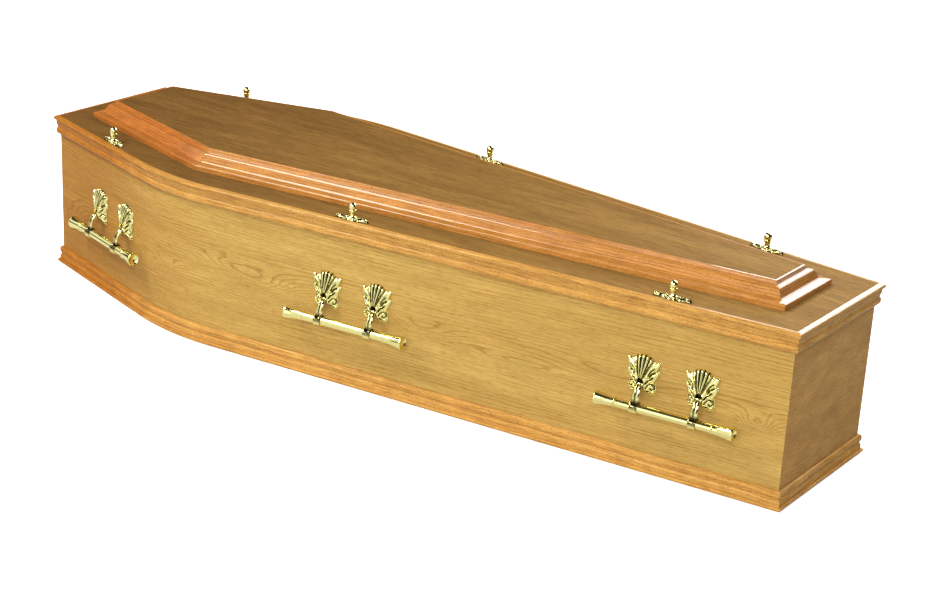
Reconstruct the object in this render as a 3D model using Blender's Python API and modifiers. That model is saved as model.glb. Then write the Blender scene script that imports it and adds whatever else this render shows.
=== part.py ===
"""A wooden coffin with a raised lid: a veneered box whose two sides are bent at the shoulder, a plinth
moulding round its foot, a lid with a moulded edge and a framed raised panel, six wreath screws and six
swinging bar handles.

Metres, +Z up. The origin is on the floor under the middle of the box, +X runs from the head end to the
foot end and -Y is the near side.
"""
import math

import bmesh
import bpy
from mathutils import Matrix, Vector

# Plan of the box on its outer faces
BODY_LENGTH = 1.920
HEAD_HALF_WIDTH = 0.173
SHOULDER_HALF_WIDTH = 0.320       # where the two straight runs of a side would meet
FOOT_HALF_WIDTH = 0.167
SHOULDER_FROM_HEAD = 0.492
BEND_TANGENT = 0.120              # length of each straight run that the bend takes up
BEND_STEPS = 6

# Boards
SIDE_THICKNESS = 0.018
BASE_THICKNESS = 0.018
RIM_HEIGHT = 0.345
LID_THICKNESS = 0.018
GAP = 0.0003                      # between pieces that touch
MITRE_SHIFT = 0.0005              # how much an end piece is cut back at each mitre
LID_CLEARANCE = 0.0010            # between the box and what hangs over it

# Plinth and lid edge, one moulding used both ways up. Projections are from its back.
PLINTH_HEIGHT = 0.040
LID_EDGE_HEIGHT = 0.043
LIP_PROJECTION = 0.0116
LIP_DEPTH = 0.0085
LIP_ROUND_START = 0.0045
LIP_NOSE_DROP = 0.0045
LIP_STEPS = 2
LIP_UNDER_ROUND = 0.0014          # on the lower corner of the lip
SWELL_PROJECTION = 0.0069
SWELL_SHARE = 0.45                # of the way from the lip to the notch, before it hollows
NOTCH_PROJECTION = 0.0044
NOTCH_FROM_END = 0.0165
BEAD_PROJECTION = 0.0071
BEAD_ROOT_PROJECTION = 0.0026
BEAD_ANGLES = (-52, -16, 20, 56)  # points round the bead, in degrees

# Raised panel on the lid. Its outline is the foot of its frame, set in from the ends and sides of the box.
PANEL_HEAD_INSET = 0.060
PANEL_FOOT_INSET = 0.0645
PANEL_HEAD_MARGIN = 0.0480
PANEL_SHOULDER_MARGIN = 0.0685
PANEL_FOOT_MARGIN = 0.0712
PANEL_SHOULDER_SHIFT = 0.0090     # from the shoulder of the box toward the foot
PANEL_RAISE = 0.0405
PANEL_THICKNESS = 0.0060
FRAME_WIDTH = 0.045
FRAME_REBATE = 0.010              # how far the frame reaches in under the panel
FRAME_TOP_FLAT = 0.0030
FRAME_TOP_ROUND = 0.0012
FRAME_FILLET_DROP = 0.0075
FRAME_LEDGE_START = 0.0058
FRAME_LEDGE_END = 0.0140
FRAME_LEDGE_FALL = 0.0012
FRAME_OGEE_END = 0.0295
FRAME_OGEE_DROP = 0.0275
FRAME_OGEE_STEPS = 6
FRAME_NOSE = 0.0040               # round the outer edge of the lower ledge
FRAME_NOSE_RISE = 0.0036
FRAME_FASCIA = 0.0085

# Wreath screws, above the middle of the side boards
SCREW_FROM_HEAD = {"near": 0.2385, "far": 0.2175}
SCREW_FROM_MIDDLE = {"near": -0.0075, "far": -0.0410}
SCREW_FROM_FOOT = {"near": 0.2535, "far": 0.2535}
WREATH_HEIGHT = 0.0055
WREATH_RIM = 0.0020
WREATH_LEAF_FALL = 0.55           # how much lower a leaf's crown is at its tip
KNOB_RADIUS = 0.0088
KNOB_CENTRE = 0.0275
KNOB_ANGLES = (52, 18, -16, -36)
NECK_RIM_RADIUS = 0.0080          # of the cup that the ball sits in
NECK_RIM_DROP = 0.0060            # below the middle of the ball
NECK_RADIUS = 0.0052
NECK_DROP = 0.0150
NECK_FLARE_RADIUS = 0.0066
NECK_FLARE_HEIGHT = 0.0028        # above the wreath
NECK_FOOT_RADIUS = 0.0088
SCREW_SEGMENTS = 8

# Handles
HANDLE_FROM_HEAD = 0.248
HANDLE_FROM_MIDDLE = 0.004
HANDLE_FROM_FOOT = 0.233
BAR_LENGTH = 0.290
BAR_RADIUS = 0.0092
BAR_STANDOFF = 0.0280
BAR_HEIGHT = 0.1410
BAR_SEGMENTS = 10
CAP_LENGTH = 0.045
CAP_END_RADIUS = 0.0145
CAP_EDGE_FLAT = 0.0008
CAP_EDGE_ROUND = 0.0022
CAP_DISH_DEPTH = 0.0060
CAP_DISH_RADIUS = 0.0100
CAP_DISH_ROUND = 0.0012
CAP_WAIST = 0.45                  # of the cap's length, from its end
CAP_WAIST_FLARE = 0.42            # of the whole flare, at the waist
CAP_BEAD_RADIUS = 0.0112
CAP_BEAD_WIDTH = 0.0030
CAP_BEAD_ROUND = 0.0006
ARM_SPACING = 0.122
PIVOT_HEIGHT = 0.1830
PIVOT_STANDOFF = 0.0100
EYE_RADIUS = 0.0038
ARM_TOP_WIDTH = 0.0126
ARM_FOOT_WIDTH = 0.0156
ARM_THICKNESS = 0.0034
ARM_BOW = 0.0170                  # how far out the arm runs before it turns down
ARM_BOW_DROP = 0.0040
ARM_STEPS = 3
COLLAR_WIDTH = 0.0160
COLLAR_RADIUS = 0.0122
COLLAR_CLEARANCE = 0.0004
EYE_CLEARANCE = 0.0006
PLATE_HUB_HEIGHT = 0.0155
PLATE_EDGE_HEIGHT = 0.0032
PLATE_TOP_HEIGHT = 0.0050         # of the fan's upper edge, which curls away from the board
PLATE_FALL = 0.8                  # how straight the front falls from the hub to the edge
PLATE_RINGS = 2
FLUTE_COUNT = 5
FLUTE_DEPTH = 0.0022
FAN_HALF_ANGLE = 24.0
SLOT_ABOVE_PIVOT = 0.0072
SLOT_BELOW_PIVOT = 0.0300
CUT_REACH = 0.0500                # how far a cutter reaches past what it cuts

# Half outlines about the middle of a fitting: degrees from level, and metres out
PLATE_OUTLINE = ((-90, 0.009), (-55, 0.0190), (-44, 0.0320), (-26, 0.0340), (-14, 0.0315), (12, 0.0280),
                 (32, 0.0425), (53, 0.0575), (66, 0.0510), (90, 0.0580))
WREATH_OUTLINE = ((0, 0.0380), (7, 0.0330), (15, 0.0215), (26, 0.0225), (42, 0.0125), (62, 0.0125),
                  (90, 0.0100))

HEAD_X = -BODY_LENGTH / 2
FOOT_X = BODY_LENGTH / 2
LID_TOP = RIM_HEIGHT + GAP + LID_THICKNESS
PANEL_TOP = LID_TOP + GAP + PANEL_RAISE
HANDLE_STATIONS = {
    "head": HEAD_X + HANDLE_FROM_HEAD,
    "middle": HANDLE_FROM_MIDDLE,
    "foot": FOOT_X - HANDLE_FROM_FOOT,
}

# Colours seen on the real one: linear red, green, blue, then roughness and metallic
FINISHES = {
    "side_veneer": ((0.560, 0.310, 0.080), 0.30, 0.0),
    "end_veneer": ((0.330, 0.190, 0.070), 0.32, 0.0),
    "lid_veneer": ((0.300, 0.165, 0.055), 0.22, 0.0),
    "moulding": ((0.600, 0.270, 0.070), 0.25, 0.0),
    "bare_board": ((0.480, 0.350, 0.200), 0.70, 0.0),
    "plated_brass": ((0.850, 0.780, 0.380), 0.16, 1.0),
}


def clear_scene():
    for obj in list(bpy.data.objects):
        bpy.data.objects.remove(obj, do_unlink=True)


def make_collection(name):
    collection = bpy.data.collections.new(name)
    bpy.context.scene.collection.children.link(collection)
    return collection


def make_materials():
    materials = {}
    for name, (colour, roughness, metallic) in FINISHES.items():
        material = bpy.data.materials.new(name)
        material.use_nodes = True
        shader = material.node_tree.nodes["Principled BSDF"]
        shader.inputs["Base Color"].default_value = (*colour, 1.0)
        shader.inputs["Roughness"].default_value = roughness
        shader.inputs["Metallic"].default_value = metallic
        materials[name] = material
    return materials


def unit_normal(direction):
    """The normal on the left of a plan direction, which points out of the far side."""
    return Vector((-direction.y, direction.x))


class Outline:
    """Half of a six-sided plan, y above 0: a head corner, a shoulder and a foot corner."""

    def __init__(self, head_x, head_y, shoulder_x, shoulder_y, foot_x, foot_y, bend=0.0):
        self.head_x = head_x
        self.foot_x = foot_x
        self.shoulder = Vector((shoulder_x, shoulder_y))
        self.head_run = (self.shoulder - Vector((head_x, head_y))).normalized()
        self.foot_run = (Vector((foot_x, foot_y)) - self.shoulder).normalized()
        self.bend = bend

    def run_y(self, run, offset, x):
        """The y, at x, of the line along one straight run moved out by offset."""
        start = self.shoulder + unit_normal(run) * offset
        return start.y + (x - start.x) * run.y / run.x

    def shoulder_points(self, offset):
        """The bend as an arc, or one sharp point where there is no bend."""
        out_head = unit_normal(self.head_run)
        out_foot = unit_normal(self.foot_run)
        turn = out_head.angle(out_foot)
        if self.bend == 0.0:
            middle = (out_head + out_foot).normalized()
            return [self.shoulder + middle * offset / math.cos(turn / 2)]
        radius = self.bend / math.tan(turn / 2)
        centre = self.shoulder - self.head_run * self.bend - out_head * radius
        first = math.atan2(out_head.y, out_head.x)
        last = math.atan2(out_foot.y, out_foot.x)
        points = []
        for step in range(BEND_STEPS + 1):
            angle = first + (last - first) * step / BEND_STEPS
            points.append(centre + Vector((math.cos(angle), math.sin(angle))) * (radius + offset))
        return points

    def side(self, offset):
        """The far side from its head corner to its foot corner, all moved out by offset."""
        head = Vector((self.head_x - offset, self.run_y(self.head_run, offset, self.head_x - offset)))
        foot = Vector((self.foot_x + offset, self.run_y(self.foot_run, offset, self.foot_x + offset)))
        return [head] + self.shoulder_points(offset) + [foot]

    def ring(self, offset):
        """The whole plan: the far side from head to foot, then the near side back."""
        far = self.side(offset)
        return far + [Vector((p.x, -p.y)) for p in reversed(far)]


BOX = Outline(HEAD_X, HEAD_HALF_WIDTH, HEAD_X + SHOULDER_FROM_HEAD, SHOULDER_HALF_WIDTH,
              FOOT_X, FOOT_HALF_WIDTH, BEND_TANGENT)
PANEL = Outline(HEAD_X + PANEL_HEAD_INSET, HEAD_HALF_WIDTH - PANEL_HEAD_MARGIN,
                HEAD_X + SHOULDER_FROM_HEAD + PANEL_SHOULDER_SHIFT, SHOULDER_HALF_WIDTH - PANEL_SHOULDER_MARGIN,
                FOOT_X - PANEL_FOOT_INSET, FOOT_HALF_WIDTH - PANEL_FOOT_MARGIN)


def add_object(name, data, collection, material):
    obj = bpy.data.objects.new(name, data)
    collection.objects.link(obj)
    data.materials.clear()
    data.materials.append(material)
    return obj


def loft_mesh(name, rings):
    """A closed mesh through equal rings of points, with a flat face on each end."""
    bm = bmesh.new()
    loops = [[bm.verts.new(point) for point in ring] for ring in rings]
    count = len(loops[0])
    for low, high in zip(loops, loops[1:]):
        for i in range(count):
            bm.faces.new((low[i], low[(i + 1) % count], high[(i + 1) % count], high[i]))
    bm.faces.new(loops[0])
    bm.faces.new(loops[-1])
    bmesh.ops.recalc_face_normals(bm, faces=bm.faces)
    mesh = bpy.data.meshes.new(name)
    bm.to_mesh(mesh)
    bm.free()
    return mesh


def side_rings(outline, section, sign):
    """Rings of a piece that follows one side: section holds (offset, height) pairs."""
    paths = [outline.side(offset) for offset, height in section]
    rings = []
    for station in range(len(paths[0])):
        ring = []
        for path, (offset, height) in zip(paths, section):
            ring.append(Vector((path[station].x, sign * path[station].y, height)))
        rings.append(ring)
    return rings


def end_rings(outline, section, end):
    """Rings of a piece that crosses one end, cut back a little at its two mitres."""
    rings = []
    for sign in (-1, 1):
        ring = []
        for offset, height in section:
            corner = outline.side(offset)[end]
            ring.append(Vector((corner.x, sign * (corner.y - MITRE_SHIFT), height)))
        rings.append(ring)
    return rings


def make_round_of_pieces(prefix, outline, section, collection, side_material, end_material):
    """Two sides, a head and a foot of one section, mitred at the four corners."""
    for side, sign in (("near", -1), ("far", 1)):
        name = f"{prefix}_{side}"
        add_object(name, loft_mesh(name, side_rings(outline, section, sign)), collection, side_material)
    for end_name, end in (("head", 0), ("foot", -1)):
        name = f"{prefix}_{end_name}"
        add_object(name, loft_mesh(name, end_rings(outline, section, end)), collection, end_material)


def flat_board(name, outline, bottom, thickness, collection, material):
    """A board cut from one flat outline."""
    curve = bpy.data.curves.new(name, "CURVE")
    curve.dimensions = "2D"
    curve.fill_mode = "BOTH"
    curve.extrude = thickness / 2
    spline = curve.splines.new("POLY")
    spline.points.add(len(outline) - 1)
    for point, place in zip(spline.points, outline):
        point.co = (place.x, place.y, 0.0, 1.0)
    spline.use_cyclic_u = True
    obj = add_object(name, curve, collection, material)
    obj.location.z = bottom + thickness / 2
    return obj


def lip_moulding(back, height):
    """The plinth's section from its lip at 0 to its bead at height: (offset, distance from the lip)."""
    points = [(back, 0.0)]
    for step in range(LIP_STEPS + 1):
        angle = math.pi / 2 * step / LIP_STEPS
        out = LIP_ROUND_START + (LIP_PROJECTION - LIP_ROUND_START) * math.sin(angle)
        points.append((back + out, LIP_NOSE_DROP * (1 - math.cos(angle))))
    notch = height - NOTCH_FROM_END
    swell_end = LIP_DEPTH + (notch - LIP_DEPTH) * SWELL_SHARE
    points += [
        (back + LIP_PROJECTION - LIP_UNDER_ROUND, LIP_DEPTH - LIP_UNDER_ROUND),
        (back + SWELL_PROJECTION, LIP_DEPTH),
        (back + SWELL_PROJECTION, swell_end),
        (back + (SWELL_PROJECTION + NOTCH_PROJECTION) / 2, (swell_end + notch * 2) / 3),
        (back + NOTCH_PROJECTION, notch),
    ]
    for degrees in BEAD_ANGLES:
        angle = math.radians(degrees)
        out = BEAD_ROOT_PROJECTION + (BEAD_PROJECTION - BEAD_ROOT_PROJECTION) * math.cos(angle)
        points.append((back + out, height - NOTCH_FROM_END * (1 - math.sin(angle)) / 2))
    points += [(back + BEAD_ROOT_PROJECTION, height), (back, height)]
    return points


def raised_section():
    """The frame's section: (offset from its outer foot, height), round from its top inner edge."""
    inner = -FRAME_WIDTH
    base = PANEL_TOP - PANEL_RAISE
    points = [
        (inner, PANEL_TOP),
        (inner + FRAME_TOP_FLAT, PANEL_TOP),
        (inner + FRAME_TOP_FLAT + FRAME_TOP_ROUND, PANEL_TOP - FRAME_TOP_ROUND),
        (inner + FRAME_LEDGE_START, PANEL_TOP - FRAME_FILLET_DROP),
    ]
    ledge_drop = FRAME_FILLET_DROP + FRAME_LEDGE_FALL
    for step in range(FRAME_OGEE_STEPS + 1):
        share = step / FRAME_OGEE_STEPS
        out = FRAME_LEDGE_END + (FRAME_OGEE_END - FRAME_LEDGE_END) * share
        drop = ledge_drop + (FRAME_OGEE_DROP - ledge_drop) * (1 - math.cos(math.pi * share)) / 2
        points.append((inner + out, PANEL_TOP - drop))
    points += [
        (-FRAME_NOSE, base + FRAME_FASCIA + FRAME_NOSE_RISE),
        (-FRAME_NOSE / 4, base + FRAME_FASCIA + FRAME_NOSE_RISE / 2),
        (0.0, base + FRAME_FASCIA),
        (0.0, base),
        (inner - FRAME_REBATE, base),
        (inner - FRAME_REBATE, PANEL_TOP - PANEL_THICKNESS - GAP),
        (inner, PANEL_TOP - PANEL_THICKNESS - GAP),
    ]
    return points


def make_raised_frame(collection, material):
    """Six straight lengths, mitred at the four corners and at the shoulders."""
    section = raised_section()
    far = [PANEL.side(offset) for offset, height in section]
    spans = {"far_upper": (0, 1, 1), "far_lower": (1, 2, 1), "near_upper": (0, 1, -1), "near_lower": (1, 2, -1)}
    for name, (first, last, sign) in spans.items():
        along = (far[0][last] - far[0][first]).normalized() * GAP
        rings = []
        for corner, shift in ((first, along), (last, -along)):
            ring = []
            for path, (offset, height) in zip(far, section):
                place = path[corner] + shift
                ring.append(Vector((place.x, sign * place.y, height)))
            rings.append(ring)
        add_object(f"raised_frame_{name}", loft_mesh(name, rings), collection, material)
    for end_name, end in (("head", 0), ("foot", -1)):
        name = f"raised_frame_{end_name}"
        add_object(name, loft_mesh(name, end_rings(PANEL, section, end)), collection, material)


def radius_at(outline, degrees):
    """The outline's radius at an angle, read along the straight lines between its points."""
    for (a0, r0), (a1, r1) in zip(outline, outline[1:]):
        if a0 <= degrees <= a1:
            return r0 + (r1 - r0) * (degrees - a0) / (a1 - a0)
    raise ValueError(f"{degrees} degrees is off the outline")


def relief_mesh(name, spokes, rings, radius, height):
    """A cast plate: a flat back at y 0 and a front whose depth is given about its middle.

    spokes are angles in degrees; radius(angle) is the outline; height(share, angle) is the depth
    of the front at a share of that radius.
    """
    bm = bmesh.new()
    middle = bm.verts.new((0.0, -height(0.0, 90.0), 0.0))
    loops = []
    for ring in range(1, rings + 1):
        share = ring / rings
        loop = []
        for degrees in spokes:
            angle = math.radians(degrees)
            out = radius(degrees) * share
            loop.append(bm.verts.new((out * math.cos(angle), -height(share, degrees), out * math.sin(angle))))
        loops.append(loop)
    back = [bm.verts.new((v.co.x, 0.0, v.co.z)) for v in loops[-1]]
    count = len(spokes)
    for i in range(count):
        bm.faces.new((middle, loops[0][i], loops[0][(i + 1) % count]))
    for inner, outer in zip(loops, loops[1:] + [back]):
        for i in range(count):
            bm.faces.new((inner[i], outer[i], outer[(i + 1) % count], inner[(i + 1) % count]))
    bm.faces.new(back)
    bmesh.ops.recalc_face_normals(bm, faces=bm.faces)
    mesh = bpy.data.meshes.new(name)
    bm.to_mesh(mesh)
    bm.free()
    return mesh


def turned_object(name, profile, segments, collection):
    """A turned piece about Z: profile holds (radius, height) from top to bottom."""
    mesh = bpy.data.meshes.new(name)
    points = [(radius, 0.0, height) for radius, height in profile]
    edges = [(i, i + 1) for i in range(len(points) - 1)]
    mesh.from_pydata(points, edges, [])
    obj = bpy.data.objects.new(name, mesh)
    collection.objects.link(obj)
    screw = obj.modifiers.new("turn", "SCREW")
    screw.steps = segments
    screw.render_steps = segments
    screw.use_merge_vertices = True
    screw.merge_threshold = 0.00001
    return obj


def cutter_box(name, low, high, collection):
    """A box for cutting, from its lowest to its highest corner."""
    bpy.ops.mesh.primitive_cube_add(size=1.0)
    obj = bpy.context.active_object
    obj.name = name
    for parent in list(obj.users_collection):
        parent.objects.unlink(obj)
    collection.objects.link(obj)
    low, high = Vector(low), Vector(high)
    size = high - low
    obj.data.transform(Matrix.Translation((low + high) / 2) @ Matrix.Diagonal((*size, 1.0)))
    obj.hide_render = True
    obj.display_type = "WIRE"
    return obj


def cylinder_along_x(name, radius, width, centre, segments, collection):
    """A closed cylinder that lies along X."""
    bpy.ops.mesh.primitive_cylinder_add(vertices=segments, radius=radius, depth=width)
    obj = bpy.context.active_object
    obj.name = name
    for parent in list(obj.users_collection):
        parent.objects.unlink(obj)
    collection.objects.link(obj)
    obj.data.transform(Matrix.Translation(centre) @ Matrix.Rotation(math.pi / 2, 4, "Y"))
    obj.hide_render = True
    obj.display_type = "WIRE"
    return obj


def combine(name, base, steps):
    """The mesh of base after Boolean steps, each a (operation, object) pair; the parts are removed."""
    for operation, other in steps:
        modifier = base.modifiers.new(operation.lower(), "BOOLEAN")
        modifier.operation = operation
        modifier.object = other
    graph = bpy.context.evaluated_depsgraph_get()
    graph.update()
    mesh = bpy.data.meshes.new_from_object(base.evaluated_get(graph))
    mesh.name = name
    bm = bmesh.new()
    bm.from_mesh(mesh)
    bmesh.ops.remove_doubles(bm, verts=bm.verts, dist=0.00001)
    bm.to_mesh(mesh)
    bm.free()
    for obj in [base] + [other for operation, other in steps]:
        bpy.data.objects.remove(obj, do_unlink=True)
    return mesh


def plate_spokes():
    """Angles all round a handle plate: close together across the fan, one at each corner elsewhere."""
    wing = [angle for angle, radius in PLATE_OUTLINE if angle < 90 - FAN_HALF_ANGLE]
    fan = [90 - FAN_HALF_ANGLE + FAN_HALF_ANGLE * i / FLUTE_COUNT for i in range(2 * FLUTE_COUNT + 1)]
    other_wing = [180 - angle for angle in reversed(wing[1:])]
    return wing + fan + other_wing


def folded(degrees):
    """The angle on the right half that mirrors one on the left half."""
    return degrees if degrees <= 90 else 180 - degrees


def plate_height(share, degrees):
    """Depth of a handle plate: a high hub that falls away to its edge, with flutes in the fan."""
    degrees = folded(degrees)
    in_fan = degrees >= 90 - FAN_HALF_ANGLE
    edge = PLATE_TOP_HEIGHT if in_fan else PLATE_EDGE_HEIGHT
    depth = edge + (PLATE_HUB_HEIGHT - edge) * (1 - share) ** PLATE_FALL
    if in_fan:
        turn = (degrees - 90) / FAN_HALF_ANGLE * FLUTE_COUNT * math.pi
        depth -= FLUTE_DEPTH * share * (1 - math.cos(turn)) / 2
    return depth


def handle_plate_mesh(cutters):
    """A cast palmette with a slot in its hub, where the eye of the arm turns."""
    mesh = relief_mesh("handle_plate", plate_spokes(), PLATE_RINGS,
                       lambda degrees: radius_at(PLATE_OUTLINE, folded(degrees)), plate_height)
    plate = bpy.data.objects.new("handle_plate", mesh)
    cutters.objects.link(plate)
    half = ARM_TOP_WIDTH / 2 + EYE_CLEARANCE
    back = -(PIVOT_STANDOFF - EYE_RADIUS - EYE_CLEARANCE)
    low = (-half, -CUT_REACH, -SLOT_BELOW_PIVOT)
    slot = cutter_box("slot", low, (half, back, SLOT_ABOVE_PIVOT), cutters)
    return combine("handle_plate", plate, [("DIFFERENCE", slot)])


def arm_path():
    """The arm's middle line in its own (y, z) plane about the pivot, a quadratic curve out and down."""
    start = Vector((0.0, 0.0))
    turn = Vector((-ARM_BOW, -ARM_BOW_DROP))
    drop = PIVOT_HEIGHT - BAR_HEIGHT
    end = Vector((-(BAR_STANDOFF - PIVOT_STANDOFF), -(drop - (BAR_RADIUS + COLLAR_RADIUS) / 2)))
    points = []
    for step in range(ARM_STEPS + 1):
        t = step / ARM_STEPS
        points.append(start * (1 - t) ** 2 + turn * 2 * t * (1 - t) + end * t * t)
    return points


def handle_arm_mesh(cutters):
    """A bowed strap from an eye at the pivot down to a collar that holds the bar."""
    path = arm_path()
    rings = []
    for i, point in enumerate(path):
        ahead = path[min(i + 1, len(path) - 1)] - path[max(i - 1, 0)]
        across = Vector((-ahead.y, ahead.x)).normalized() * ARM_THICKNESS / 2
        width = ARM_TOP_WIDTH + (ARM_FOOT_WIDTH - ARM_TOP_WIDTH) * i / (len(path) - 1)
        ring = []
        for side, face in ((-1, -1), (1, -1), (1, 1), (-1, 1)):
            place = point + across * face
            ring.append(Vector((side * width / 2, place.x, place.y)))
        rings.append(ring)
    strap = bpy.data.objects.new("strap", loft_mesh("strap", rings))
    cutters.objects.link(strap)
    bar = Vector((0.0, PIVOT_STANDOFF - BAR_STANDOFF, BAR_HEIGHT - PIVOT_HEIGHT))
    bore_radius = (BAR_RADIUS + COLLAR_CLEARANCE) / math.cos(math.pi / BAR_SEGMENTS)
    eye = cylinder_along_x("eye", EYE_RADIUS, ARM_TOP_WIDTH, Vector((0, 0, 0)), SCREW_SEGMENTS, cutters)
    collar = cylinder_along_x("collar", COLLAR_RADIUS, COLLAR_WIDTH, bar, BAR_SEGMENTS, cutters)
    bore = cylinder_along_x("bore", bore_radius, COLLAR_WIDTH * 2, bar, BAR_SEGMENTS, cutters)
    return combine("handle_arm", strap, [("UNION", eye), ("UNION", collar), ("DIFFERENCE", bore)])


def bar_profile():
    """Half of the bar and its flared cap, from the middle of the dished end: (radius, place)."""
    end = BAR_LENGTH / 2
    joint = end - CAP_LENGTH
    flare = CAP_END_RADIUS - BAR_RADIUS
    return [
        (0.0, end - CAP_DISH_DEPTH),
        (CAP_DISH_RADIUS, end - CAP_DISH_ROUND),
        (CAP_END_RADIUS - CAP_EDGE_FLAT, end),
        (CAP_END_RADIUS, end - CAP_EDGE_ROUND),
        (BAR_RADIUS + flare * CAP_WAIST_FLARE, end - CAP_LENGTH * CAP_WAIST),
        (CAP_BEAD_RADIUS, joint + CAP_BEAD_WIDTH),
        (CAP_BEAD_RADIUS, joint),
        (BAR_RADIUS, joint - CAP_BEAD_ROUND),
    ]


def handle_bar_mesh(cutters):
    """A round bar with a flared cap on each end, lying along X below and in front of the pivot."""
    half = bar_profile()
    profile = half + [(radius, -place) for radius, place in reversed(half)]
    bar = turned_object("bar", profile, BAR_SEGMENTS, cutters)
    mesh = combine("handle_bar", bar, [])
    mesh.transform(Matrix.Rotation(math.pi / BAR_SEGMENTS, 4, "Z"))
    mesh.transform(Matrix.Rotation(math.pi / 2, 4, "Y"))
    mesh.transform(Matrix.Translation((0.0, PIVOT_STANDOFF - BAR_STANDOFF, BAR_HEIGHT - PIVOT_HEIGHT)))
    mesh.shade_smooth()
    mesh.set_sharp_from_angle(angle=math.radians(40))
    return mesh


def wreath_spokes():
    """Angles all round a wreath, from the corners of its quarter outline."""
    quarter = [angle for angle, radius in WREATH_OUTLINE]
    half = quarter + [180 - angle for angle in reversed(quarter[:-1])]
    return half + [360 - angle for angle in reversed(half[1:-1])]


def wreath_radius(degrees):
    """The wreath's outline is the same in all four quarters."""
    turned = degrees % 180
    return radius_at(WREATH_OUTLINE, min(turned, 180 - turned))


def wreath_height(share, degrees):
    """Depth of the wreath: a boss in the middle, a crowned leaf on each side of it, a thin edge."""
    leaf = math.cos(math.radians(degrees)) ** 2
    crown = WREATH_HEIGHT * (1.0 - WREATH_LEAF_FALL * share * leaf)
    return WREATH_RIM + (crown - WREATH_RIM) * (1 - share ** 2)


def wreath_screw_mesh(cutters):
    """A ball knob on a flared neck, cast in one with its leafy plate; it stands along Z."""
    mesh = relief_mesh("wreath", wreath_spokes(), PLATE_RINGS, wreath_radius, wreath_height)
    mesh.transform(Matrix.Rotation(-math.pi / 2, 4, "X"))
    wreath = bpy.data.objects.new("wreath", mesh)
    cutters.objects.link(wreath)
    profile = [(0.0, KNOB_CENTRE + KNOB_RADIUS)]
    for degrees in KNOB_ANGLES:
        angle = math.radians(degrees)
        profile.append((KNOB_RADIUS * math.cos(angle), KNOB_CENTRE + KNOB_RADIUS * math.sin(angle)))
    profile += [
        (NECK_RIM_RADIUS, KNOB_CENTRE - NECK_RIM_DROP),
        (NECK_RADIUS, KNOB_CENTRE - NECK_DROP),
        (NECK_FLARE_RADIUS, WREATH_HEIGHT + NECK_FLARE_HEIGHT),
        (NECK_FOOT_RADIUS, WREATH_HEIGHT),
        (NECK_FOOT_RADIUS, WREATH_RIM / 2),
        (0.0, WREATH_RIM / 2),
    ]
    knob = turned_object("knob", profile, SCREW_SEGMENTS, cutters)
    return combine("wreath_screw", wreath, [("UNION", knob)])


def wall_frame(outline, side, station, offset):
    """A frame on the outer face of a side: X along it to a viewer's right, Y into it, Z up."""
    run = outline.head_run if station < outline.shoulder.x else outline.foot_run
    y = outline.run_y(run, offset, station)
    along = Vector((run.x, run.y, 0.0))
    place = Vector((station, y, 0.0))
    if side == "near":
        along.y = -along.y
        place.y = -place.y
    else:
        along = -along
    up = Vector((0.0, 0.0, 1.0))
    inward = up.cross(along)
    frame = Matrix((along, inward, up)).transposed().to_4x4()
    frame.translation = place
    return frame


def make_handles(collection, cutters, material):
    """Three handles on each side: two plates on the board, and two arms and a bar that swing."""
    plate = handle_plate_mesh(cutters)
    arm = handle_arm_mesh(cutters)
    bar = handle_bar_mesh(cutters)
    for side in ("near", "far"):
        for place, station in HANDLE_STATIONS.items():
            wall = wall_frame(BOX, side, station, GAP)
            pivot = Vector((0.0, -PIVOT_STANDOFF, PIVOT_HEIGHT))
            for number, shift in ((1, -ARM_SPACING / 2), (2, ARM_SPACING / 2)):
                shift = Vector((shift, 0.0, 0.0))
                prefix = f"handle_{side}_{place}"
                obj = add_object(f"{prefix}_plate_{number}", plate, collection, material)
                obj.matrix_world = wall @ Matrix.Translation(shift + Vector((0.0, 0.0, PIVOT_HEIGHT)))
                obj = add_object(f"{prefix}_arm_{number}", arm, collection, material)
                obj.matrix_world = wall @ Matrix.Translation(shift + pivot)
            obj = add_object(f"{prefix}_bar", bar, collection, material)
            obj.matrix_world = wall @ Matrix.Translation(pivot)


def make_wreath_screws(collection, cutters, material):
    """Three screws on each side, through the lid into the middle of the side board's edge."""
    mesh = wreath_screw_mesh(cutters)
    for side in ("near", "far"):
        stations = {
            "head": HEAD_X + SCREW_FROM_HEAD[side],
            "middle": SCREW_FROM_MIDDLE[side],
            "foot": FOOT_X - SCREW_FROM_FOOT[side],
        }
        for place, station in stations.items():
            obj = add_object(f"wreath_screw_{side}_{place}", mesh, collection, material)
            obj.matrix_world = wall_frame(BOX, side, station, -SIDE_THICKNESS / 2)
            obj.location.z = LID_TOP + GAP


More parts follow.
